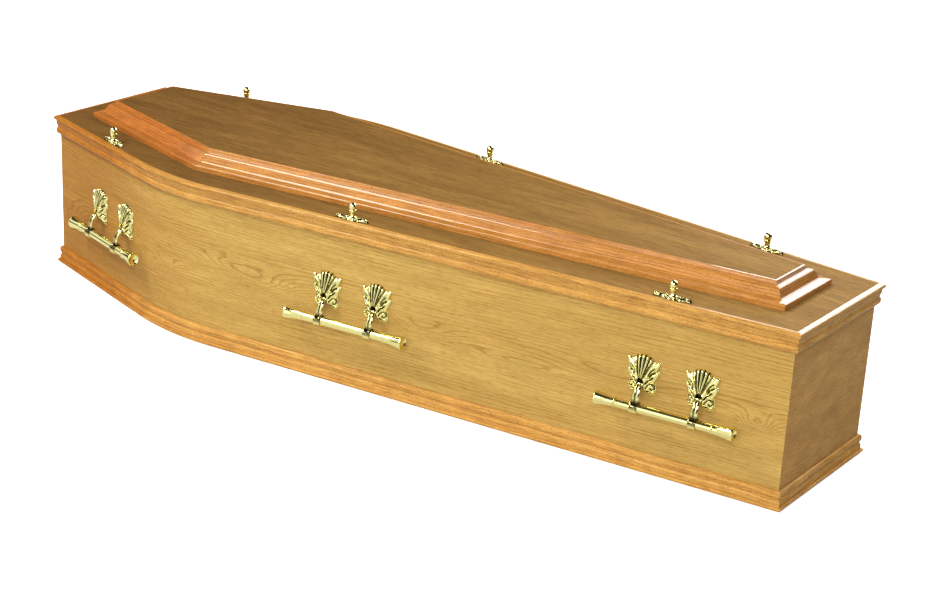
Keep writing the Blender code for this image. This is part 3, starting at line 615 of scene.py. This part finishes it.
def mixed(tree, share, first, second, blend="MIX"):
    """A mix of two colours; 6, 7 and output 2 are the mix node's colour sockets."""
    made = node(tree, "ShaderNodeMix", {0: share, 6: first, 7: second}, data_type="RGBA", blend_type=blend)
    return made.outputs[2]


def noise(tree, place, scale, detail, roughness=0.5):
    """Noise over a place, from 0 to 1."""
    made = node(tree, "ShaderNodeTexNoise", {"Vector": place, "Scale": scale, "Detail": detail,
                                             "Roughness": roughness})
    return made.outputs["Fac"]


def stretched(tree, place, scale):
    """A place multiplied by a scale, axis by axis."""
    return node(tree, "ShaderNodeMapping", {"Vector": place, "Scale": scale}).outputs["Vector"]


def stepped(tree, value, low, high):
    """0 below low, 1 above high and smooth between."""
    return node(tree, "ShaderNodeMapRange", {"Value": value, "From Min": low, "From Max": high},
                interpolation_type="SMOOTHSTEP").outputs["Result"]


def new_group(name, inputs, outputs):
    """A node group with its input and output sockets; f, v and c are a value, a vector and a colour."""
    group = bpy.data.node_groups.new(name, "ShaderNodeTree")
    kinds = {"f": "NodeSocketFloat", "v": "NodeSocketVector", "c": "NodeSocketColor"}
    for label, kind, default in inputs:
        socket = group.interface.new_socket(label, in_out="INPUT", socket_type=kinds[kind])
        socket.default_value = default
    for label, kind in outputs:
        group.interface.new_socket(label, in_out="OUTPUT", socket_type=kinds[kind])
    return group, group.nodes.new("NodeGroupInput").outputs, group.nodes.new("NodeGroupOutput").inputs


def use_group(tree, group, **inputs):
    """One use of a node group, with its inputs plugged by name."""
    made = tree.nodes.new("ShaderNodeGroup")
    made.node_tree = group
    for label, value in inputs.items():
        plug(tree, made.inputs[label], value)
    return made.outputs


def make_grain_eye():
    """Where a growth cone breaks the veneer's face: a lift of strength e^(-d^2) about its centre."""
    group, given, put = new_group(
        "grain_eye",
        [("Place", "v", (0, 0, 0)), ("Centre", "v", (0, 0, 0)), ("Reach", "v", (1, 1, 1)),
         ("Strength", "f", 1.0)],
        [("Lift", "f")])
    away = node(group, "ShaderNodeVectorMath", {0: given["Place"], 1: given["Centre"]}, operation="SUBTRACT")
    scaled = node(group, "ShaderNodeVectorMath", {0: away.outputs[0], 1: given["Reach"]}, operation="DIVIDE")
    square = node(group, "ShaderNodeVectorMath", {0: scaled.outputs[0], 1: scaled.outputs[0]},
                  operation="DOT_PRODUCT")
    fall = maths(group, "EXPONENT", maths(group, "MULTIPLY", square.outputs["Value"], -1.0))
    plug(group, put["Lift"], maths(group, "MULTIPLY", fall, given["Strength"]))
    return group


def make_oak_figure():
    """The figure of oak cut along the grain, from a place in metres: X along the grain, Y across it.

    A growth line is the last part of each ring, where ring = fraction of (across + waver) / spacing +
    lift. Streaks, bands and pores are noise drawn out along the grain.
    """
    group, given, put = new_group(
        "oak_figure",
        [("Place", "v", (0, 0, 0)), ("Spacing", "f", 0.009), ("Waver", "f", 0.010), ("Lift", "f", 0.0)],
        [("Lines", "f"), ("Streaks", "f"), ("Bands", "f"), ("Pores", "f"), ("Mottle", "f")])
    place = given["Place"]
    across = node(group, "ShaderNodeSeparateXYZ", {0: place}).outputs["Y"]
    slow = noise(group, stretched(group, place, (1.3, 11.0, 1.0)), 1.0, 3.0)
    wander = maths(group, "MULTIPLY", maths(group, "SUBTRACT", slow, 0.5), given["Waver"])
    fine = noise(group, stretched(group, place, (22.0, 150.0, 1.0)), 1.0, 2.0)
    ripple = maths(group, "MULTIPLY", maths(group, "SUBTRACT", fine, 0.5), 0.0040)
    moved_across = maths(group, "ADD", maths(group, "ADD", across, wander), ripple)
    phase = maths(group, "ADD", maths(group, "DIVIDE", moved_across, given["Spacing"]), given["Lift"])
    ring = maths(group, "FRACT", phase)
    line = maths(group, "MULTIPLY", stepped(group, ring, 0.56, 0.92), stepped(group, ring, 1.0, 0.94))
    weight = stepped(group, noise(group, stretched(group, place, (4.0, 34.0, 1.0)), 1.0, 3.0), 0.34, 0.62)
    weight = maths(group, "MULTIPLY_ADD", given["Lift"], 0.45, weight, clamp=True)
    plug(group, put["Lines"], maths(group, "MULTIPLY", line, weight))
    streak = noise(group, stretched(group, place, (9.0, 290.0, 1.0)), 1.0, 4.0, 0.62)
    plug(group, put["Streaks"], stepped(group, streak, 0.40, 0.64))
    band = noise(group, stretched(group, place, (0.8, 12.0, 1.0)), 1.0, 3.0)
    plug(group, put["Bands"], stepped(group, band, 0.34, 0.66))
    pore = noise(group, stretched(group, place, (55.0, 460.0, 1.0)), 1.0, 2.0)
    plug(group, put["Pores"], stepped(group, pore, 0.50, 0.66))
    plug(group, put["Mottle"], noise(group, stretched(group, place, (9.0, 36.0, 9.0)), 1.0, 4.0))
    return group


def make_head_shade():
    """Painted head-end shade: a share of the darker, redder tint that grows from Start to End along X."""
    group, given, put = new_group(
        "head_shade",
        [("Colour", "c", (1, 1, 1, 1)), ("Tint", "c", (1, 1, 1, 1)), ("Start", "f", HEAD_SHADE_SPAN[0]),
         ("End", "f", HEAD_SHADE_SPAN[1])],
        [("Colour", "c")])
    along = node(group, "ShaderNodeSeparateXYZ", {0: along_x(group)}).outputs["X"]
    share = stepped(group, along, given["Start"], given["End"])
    shaded_tone = mixed(group, 1.0, given["Colour"], given["Tint"], "MULTIPLY")
    plug(group, put["Colour"], mixed(group, share, given["Colour"], shaded_tone))
    return group


def principled(material):
    """A new material's node tree and its shader."""
    material.use_nodes = True
    return material.node_tree, material.node_tree.nodes["Principled BSDF"]


def oak_material(name, place_of, light, dark, deep, spacing, waver, roughness, lift_of=None, lines=0.8,
                 streaks=0.5, bands=0.35, pores=0.4, clouds=0.11, squeeze=(1.0, 1.0, 1.0), coat=0.3,
                 specular=0.25, tint=(0.80, 0.60, 0.45), shade_span=HEAD_SHADE_SPAN, far_gloss=1.0, gloss_above=None):
    """Lacquered oak: growth lines and streaks darken a light ground, bands warm it, pores fleck it.

    The polish fades toward the head, to far_gloss of itself on the far side, and to nothing below
    gloss_above.
    """
    material = bpy.data.materials.new(name)
    tree, shader = principled(material)
    place = place_of(tree)
    lift = lift_of(tree, place) if lift_of else 0.0
    if squeeze != (1.0, 1.0, 1.0):
        place = stretched(tree, place, squeeze)
    out = use_group(tree, OAK_FIGURE, Place=place, Spacing=spacing, Waver=waver, Lift=lift)
    colour = mixed(tree, maths(tree, "MULTIPLY", out["Bands"], bands), (*light, 1), (*deep, 1))
    colour = mixed(tree, maths(tree, "MULTIPLY", out["Streaks"], streaks), colour, (*deep, 1))
    colour = mixed(tree, maths(tree, "MULTIPLY", out["Lines"], lines), colour, (*dark, 1))
    colour = mixed(tree, maths(tree, "MULTIPLY", out["Pores"], pores), colour, (*dark, 1))
    cloud = node(tree, "ShaderNodeMapRange", {"Value": out["Mottle"], "From Min": 0.3, "From Max": 0.7,
                                              "To Min": 1 - clouds, "To Max": 1 + clouds}).outputs["Result"]
    grey = node(tree, "ShaderNodeCombineColor", {0: cloud, 1: cloud, 2: cloud}).outputs["Color"]
    colour = mixed(tree, 1.0, colour, grey, "MULTIPLY")
    # Painted shade: the colour turns darker and redder toward the head end
    shaded = use_group(tree, HEAD_SHADE, Colour=colour, Tint=(*tint, 1), Start=shade_span[0], End=shade_span[1])
    plug(tree, shader.inputs["Base Color"], shaded["Colour"])
    rough = maths(tree, "MULTIPLY_ADD", out["Mottle"], 0.12, roughness - 0.06)
    plug(tree, shader.inputs["Roughness"], rough)
    relief = maths(tree, "ADD", out["Pores"], maths(tree, "MULTIPLY", out["Lines"], 0.4))
    bump = node(tree, "ShaderNodeBump", {"Strength": 0.12, "Distance": 0.0003, "Height": relief}, invert=True)
    plug(tree, shader.inputs["Normal"], bump.outputs["Normal"])
    shader.inputs["Specular IOR Level"].default_value = specular
    if coat:
        split = node(tree, "ShaderNodeSeparateXYZ", {0: along_x(tree)}).outputs
        gloss = maths(tree, "MULTIPLY", stepped(tree, split["X"], *POLISH_SPAN), coat)
        share = node(tree, "ShaderNodeMapRange", {"Value": split["Y"], "From Min": -0.02, "From Max": 0.02,
                                                  "To Min": 1.0, "To Max": far_gloss}).outputs["Result"]
        gloss = maths(tree, "MULTIPLY", gloss, share)
        if gloss_above is not None:
            high = stepped(tree, split["Z"], gloss_above - 0.001, gloss_above + 0.001)
            gloss = maths(tree, "MULTIPLY", gloss, high)
        plug(tree, shader.inputs["Coat Weight"], gloss)
    shader.inputs["Coat Roughness"].default_value = 0.07
    return material


def along_piece(tree):
    """Metres along and round the piece, from its own map."""
    return node(tree, "ShaderNodeUVMap", uv_map="length_and_girth").outputs["UV"]


def along_x(tree):
    """Grain along X."""
    return node(tree, "ShaderNodeTexCoord").outputs["Object"]


def along_y(tree):
    """Grain level across the end: the pattern's X is the object's Y, and its Y the object's height."""
    split = node(tree, "ShaderNodeSeparateXYZ", {0: along_x(tree)}).outputs
    return node(tree, "ShaderNodeCombineXYZ", {0: split["Y"], 1: split["Z"], 2: split["X"]}).outputs[0]


def make_brass():
    """Polished yellow metal, with painted shade where the mesh marks its grooves, recesses and backs."""
    material = bpy.data.materials.new("plated_brass")
    tree, shader = principled(material)
    painted_shade = node(tree, "ShaderNodeAttribute", attribute_name="painted_shade").outputs["Fac"]
    place = node(tree, "ShaderNodeTexCoord").outputs["Object"]
    cloud = noise(tree, place, 90.0, 3.0)
    tone = mixed(tree, cloud, (0.80, 0.74, 0.27, 1), (0.86, 0.80, 0.36, 1))
    # Painted shade: the marked share mixes the brass toward near black
    shade = maths(tree, "MULTIPLY", painted_shade, 0.96)
    plug(tree, shader.inputs["Base Color"], mixed(tree, shade, tone, (0.035, 0.026, 0.012, 1)))
    plug(tree, shader.inputs["Roughness"], maths(tree, "MULTIPLY_ADD", cloud, 0.06, 0.05))
    shader.inputs["Metallic"].default_value = 1.0
    scratch = noise(tree, stretched(tree, place, (60.0, 60.0, 400.0)), 1.0, 2.0)
    bump = node(tree, "ShaderNodeBump", {"Strength": 0.05, "Distance": 0.0002, "Height": scratch})
    plug(tree, shader.inputs["Normal"], bump.outputs["Normal"])
    return material


GRAIN_EYE = make_grain_eye()
OAK_FIGURE = make_oak_figure()
HEAD_SHADE = make_head_shade()

# Growth cones on the side veneer: metres along from the head corner, height, reach, spread, rings
SIDE_EYES = (
    (0.020, 0.135, 0.090, 0.036, 6.0),
    (0.485, 0.158, 0.045, 0.014, 2.5),
    (0.745, 0.172, 0.095, 0.034, 7.0),
    (0.660, 0.196, 0.060, 0.016, 2.0),
    (1.158, 0.172, 0.080, 0.018, 4.0),
    (1.380, 0.154, 0.120, 0.012, 3.0),
    (1.590, 0.176, 0.120, 0.020, 3.0),
    (1.890, 0.160, 0.034, 0.024, 5.0),
)


def side_lift(tree, place):
    """The lifts of all the growth cones on a side, added up."""
    total = 0.0
    for along, height, reach, spread, rings in SIDE_EYES:
        lift = use_group(tree, GRAIN_EYE, Place=place, Centre=(along, height, 0.0),
                         Reach=(reach, spread, 1.0), Strength=rings)["Lift"]
        total = lift if isinstance(total, float) else maths(tree, "ADD", total, lift)
    return total


SIDE_VENEER = oak_material("side_veneer", along_piece, (0.515, 0.337, 0.094), (0.215, 0.092, 0.016),
                           (0.340, 0.188, 0.040), 0.0072, 0.045, 0.50, side_lift, lines=0.46, streaks=0.46,
                           pores=0.32, clouds=0.08, coat=0.0, specular=0.05, tint=(0.735, 0.555, 0.40))
END_VENEER = oak_material("end_veneer", along_y, (0.570, 0.326, 0.102), (0.24, 0.107, 0.027),
                          (0.365, 0.187, 0.053), 0.0070, 0.050, 0.55, squeeze=(2.5, 1.0, 1.0), lines=0.40,
                          streaks=0.45, coat=0.0, specular=0.04)
# The lid's tint, spread from foot to head, is painted shade: it darkens the lid toward the head end
LID_VENEER = oak_material("lid_veneer", along_x, (0.368, 0.211, 0.056), (0.10, 0.045, 0.010),
                          (0.203, 0.101, 0.024), 0.0060, 0.020, 0.45, lines=0.35, streaks=0.60, pores=0.35,
                          coat=0.0, specular=0.012, tint=(0.46, 0.40, 0.42), shade_span=(1.1, -1.1))
EDGE_FINISH = {"light": (0.62, 0.345, 0.084), "dark": (0.22, 0.075, 0.012),
               "deep": (0.41, 0.172, 0.031), "spacing": 0.0070, "waver": 0.030, "roughness": 0.34,
               "squeeze": (3.2, 0.9, 1.0), "lines": 0.56, "clouds": 0.11,
               "tint": (0.70, 0.50, 0.28), "shade_span": (-0.40, -0.75)}
# The lid edge takes the edge finish with its light and deep colours darkened as painted shade
LID_EDGE_SHADED_FINISH = dict(EDGE_FINISH, light=(0.575, 0.322, 0.077), deep=(0.38, 0.158, 0.028))
FRAME_FINISH = {"light": (0.555, 0.248, 0.054), "dark": (0.20, 0.066, 0.010),
                "deep": (0.35, 0.128, 0.021), "spacing": 0.0065, "waver": 0.020, "roughness": 0.30,
                "squeeze": (2.4, 1.0, 1.0), "lines": 0.70, "clouds": 0.13,
                "tint": (0.82, 0.64, 0.58), "shade_span": (-0.44, -0.50)}
PLINTH_MOULDING = oak_material("plinth_moulding", along_piece, coat=0.14, specular=0.04, far_gloss=0.0,
                               **EDGE_FINISH)
EDGE_MOULDING = oak_material("edge_moulding", along_piece, coat=0.20, specular=0.04, far_gloss=0.0,
                             **LID_EDGE_SHADED_FINISH)
FOOT_EDGE = oak_material("foot_edge_moulding", along_piece, coat=0.8, specular=0.04,
                         gloss_above=LID_TOP - 0.0035, **LID_EDGE_SHADED_FINISH)
FRAME_MOULDING = oak_material("frame_moulding", along_piece, coat=0.75, specular=0.04, far_gloss=0.0,
                              **FRAME_FINISH)
FOOT_FRAME = oak_material("foot_frame_moulding", along_piece, coat=0.7, specular=0.10, **FRAME_FINISH)
PLAIN_BOARD = oak_material("plain_board", along_x, (0.50, 0.37, 0.22), (0.38, 0.26, 0.14),
                           (0.44, 0.31, 0.17), 0.010, 0.030, 0.70, coat=0.0)
BRASS = make_brass()


# The coffin
BODY = "box_and_lid"


def make_boxwork():
    """The box's boards, the plinth round its foot, the lid board and the moulding round the lid."""
    board = with_supports(((0.0, 0.0), (0.0, RIM_HEIGHT), (-SIDE_THICKNESS, RIM_HEIGHT),
                           (-SIDE_THICKNESS, 0.0)))
    plinth = lip_profile(GAP, PLINTH_HEIGHT)
    edge = lip_profile(LID_CLEARANCE + GAP, LID_EDGE_HEIGHT) * (1, -1) + (0.0, LID_TOP)
    rounds = (("board", board, SIDE_VENEER, "side_veneer"), ("plinth", plinth, PLINTH_MOULDING, "moulding"),
              ("lid_edge", edge, EDGE_MOULDING, "moulding"))
    for prefix, profile, material, slot in rounds:
        for side, sign in (("near", -1), ("far", 1)):
            add_piece(f"{prefix}_{side}_fine", side_piece(BOX_PLAN, profile, sign), material, BODY,
                      [f"{prefix}_{side}"])
        for end_name, end in (("head", 0), ("foot", -1)):
            finish = END_VENEER if prefix == "board" else material
            if (prefix, end_name) == ("lid_edge", "foot"):
                finish = FOOT_EDGE
            add_piece(f"{prefix}_{end_name}_fine", end_piece(BOX_PLAN, profile, end), finish, BODY,
                      [f"{prefix}_{end_name}"])
    lid = board_part(BOX_PLAN, LID_CLEARANCE, RIM_HEIGHT + GAP, LID_TOP)
    add_piece("lid_board_fine", lid, LID_VENEER, BODY, ["lid_board"])


def make_raised_panel():
    """The six lengths of moulding round the raised panel; the panel itself is the frame's own."""
    section = frame_profile()
    spans = {"far_upper": (0, 1, 1), "far_lower": (1, 2, 1),
             "near_upper": (0, 1, -1), "near_lower": (1, 2, -1)}
    for name, (first, last, sign) in spans.items():
        add_piece(f"raised_frame_{name}_fine", straight_piece(PANEL_PLAN, section, first, last, sign),
                  FRAME_MOULDING, BODY, [f"raised_frame_{name}"])
    for end_name, end in (("head", 0), ("foot", -1)):
        finish = FRAME_MOULDING if end_name == "head" else FOOT_FRAME
        add_piece(f"raised_frame_{end_name}_fine", end_piece(PANEL_PLAN, section, end), finish, BODY,
                  [f"raised_frame_{end_name}"])


def make_fittings():
    """Six handles, each on two plates, and six wreath screws, all placed by the frame's stations."""
    plate, arm, bar, wreath = plate_part(), arm_part(), bar_part(), wreath_part()
    for side in ("near", "far"):
        for place, station in HANDLE_STATIONS.items():
            wall = wall_matrix(side, station, GAP)
            prefix = f"handle_{side}_{place}"
            pivot = shift(0.0, -PIVOT_STANDOFF, PIVOT_HEIGHT)
            for number, along in ((1, -ARM_SPACING / 2), (2, ARM_SPACING / 2)):
                name = f"{prefix}_plate_{number}"
                add_piece(f"{name}_fine", moved(plate, wall @ shift(along, 0.0, PIVOT_HEIGHT)), BRASS, BODY,
                          [name], 50)
                name = f"{prefix}_arm_{number}"
                add_piece(f"{name}_fine", moved(arm, wall @ shift(along, 0.0, 0.0) @ pivot), BRASS, prefix,
                          [name], 40)
            name = f"{prefix}_bar"
            add_piece(f"{name}_fine", moved(bar, wall @ pivot), BRASS, prefix, [name], 40)
        for place, station in SCREW_STATIONS[side].items():
            name = f"wreath_screw_{side}_{place}"
            stand = wall_matrix(side, station, -SIDE_THICKNESS / 2)
            stand[2, 3] = LID_TOP + GAP
            add_piece(f"{name}_fine", moved(wreath, stand), BRASS, BODY, [name], 45)


def finish_frame_nodes():
    """CAD nodes whose shape is right keep it and take a finish."""
    for name, material in (("raised_panel", LID_VENEER), ("base_board", PLAIN_BOARD)):
        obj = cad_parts[name]
        for slot in obj.material_slots:
            slot.material = material


# Floor, light and camera
def make_floor():
    """A pale floor that the camera sees a little brighter than the coffin does."""
    mesh = bpy.data.meshes.new("floor")
    reach = 40.0
    level = -0.0004
    mesh.from_pydata([(-reach, -reach, level), (reach, -reach, level), (reach, reach, level),
                      (-reach, reach, level)], [], [(0, 1, 2, 3)])
    material = bpy.data.materials.new("pale_floor")
    tree, shader = principled(material)
    shader.inputs["Base Color"].default_value = (0.92, 0.92, 0.92, 1)
    shader.inputs["Roughness"].default_value = 0.8
    shader.inputs["Emission Color"].default_value = (1, 1, 1, 1)
    shader.inputs["Emission Strength"].default_value = 0.62
    softer = node(tree, "ShaderNodeBsdfDiffuse", {"Color": (0.66, 0.66, 0.66, 1)})
    seen = node(tree, "ShaderNodeLightPath").outputs["Is Camera Ray"]
    both = node(tree, "ShaderNodeMixShader", {0: seen, 1: softer.outputs[0], 2: shader.outputs[0]})
    tree.links.new(both.outputs[0], tree.nodes["Material Output"].inputs["Surface"])
    mesh.materials.append(material)
    obj = bpy.data.objects.new("floor", mesh)
    bpy.context.scene.collection.objects.link(obj)


LIGHT_DISTANCE = 4.5
LIGHT_TARGET = Vector((0.0, 0.0, 0.3))


def make_panel_light(name, towards, size, radiance):
    """A soft light that faces the coffin from a direction; its power gives the radiance asked for."""
    light = bpy.data.lights.new(name, "AREA")
    light.shape = "RECTANGLE"
    light.size, light.size_y = size
    light.energy = radiance * math.pi * size[0] * size[1]
    obj = bpy.data.objects.new(name, light)
    direction = Vector(towards).normalized()
    obj.location = direction * LIGHT_DISTANCE + LIGHT_TARGET
    obj.rotation_mode = "QUATERNION"
    obj.rotation_quaternion = direction.to_track_quat("Z", "Y")
    obj.visible_camera = False
    bpy.context.scene.collection.objects.link(obj)


# Dark cards in front of the studio's bright low wall: degrees from -Y toward +X, and their tops
STUDIO_FLAGS = ((-110.0, -37.0, 0.22), (14.0, 110.0, 1.0))


def make_world():
    """White to the eye; to the coffin a studio with a bright low wall in front and on its head side."""
    world = bpy.data.worlds.new("studio")
    bpy.context.scene.world = world
    world.use_nodes = True
    tree = world.node_tree
    tree.nodes.clear()
    way = node(tree, "ShaderNodeTexCoord").outputs["Generated"]
    split = node(tree, "ShaderNodeSeparateXYZ", {0: way}).outputs
    ahead = maths(tree, "MULTIPLY", split["Y"], -1.0)
    nearest = maths(tree, "MAXIMUM", ahead, maths(tree, "MULTIPLY", split["X"], -0.8))
    lit = maths(tree, "MULTIPLY", stepped(tree, maths(tree, "SUBTRACT", nearest, split["Z"]), -0.03, 0.03),
                stepped(tree, ahead, -0.25, -0.15))
    turn = maths(tree, "ARCTAN2", split["X"], ahead)
    for low, high, top in STUDIO_FLAGS:
        middle, half = math.radians(low + high) / 2, math.radians(high - low) / 2
        away = maths(tree, "ABSOLUTE", maths(tree, "SUBTRACT", turn, middle))
        clear = maths(tree, "MAXIMUM", stepped(tree, away, half - 0.02, half + 0.02),
                      stepped(tree, split["Z"], top - 0.03, top + 0.03))
        lit = maths(tree, "MULTIPLY", lit, clear)
    level = maths(tree, "MULTIPLY_ADD", lit, 0.97, 0.06)
    studio = node(tree, "ShaderNodeBackground", {"Color": (1, 1, 1, 1), "Strength": level})
    white = node(tree, "ShaderNodeBackground", {"Color": (1, 1, 1, 1), "Strength": 1.0})
    seen = node(tree, "ShaderNodeLightPath").outputs["Is Camera Ray"]
    both = node(tree, "ShaderNodeMixShader", {0: seen, 1: studio.outputs[0], 2: white.outputs[0]})
    out = node(tree, "ShaderNodeOutputWorld")
    tree.links.new(both.outputs[0], out.inputs["Surface"])


# The camera's place, turn and lens, from a perspective fit
CAMERA_PLACE = (2.3874, -3.2338, 1.6935)
CAMERA_TURN = (35.125, 21.3931, 3.1487)
CAMERA_LENS = 75.71


def make_camera():
    """A camera that looks from an azimuth and an elevation, then turned about its own axis."""
    azimuth, elevation, roll = (math.radians(angle) for angle in CAMERA_TURN)
    back = Vector((math.sin(azimuth) * math.cos(elevation), -math.cos(azimuth) * math.cos(elevation),
                   math.sin(elevation)))
    level = Vector((0, 0, 1)).cross(back).normalized()
    upright = back.cross(level)
    right = level * math.cos(roll) + upright * math.sin(roll)
    up = upright * math.cos(roll) - level * math.sin(roll)
    data = bpy.data.cameras.new("camera")
    data.sensor_width = 36.0
    data.lens = CAMERA_LENS
    data.clip_end = 200.0
    obj = bpy.data.objects.new("camera", data)
    turn = Matrix((right, up, back)).transposed().to_4x4()
    obj.matrix_world = Matrix.Translation(CAMERA_PLACE) @ turn
    bpy.context.scene.collection.objects.link(obj)
    bpy.context.scene.camera = obj


make_boxwork()
make_raised_panel()
make_fittings()
finish_frame_nodes()
make_floor()
make_panel_light("key_light", (0.42, -0.78, 0.47), (2.6, 1.5), 10.0)
make_panel_light("strip_light", (-0.03, -0.97, 0.24), (1.3, 2.0), 1.5)
make_panel_light("shoulder_light", (-0.48, -0.43, 0.765), (1.7, 1.7), 20.0)
make_panel_light("back_light", (0.115, 0.820, 0.540), (4.4, 2.1), 7.5)
make_world()
make_camera()
bpy.context.scene.view_settings.view_transform = "Standard"
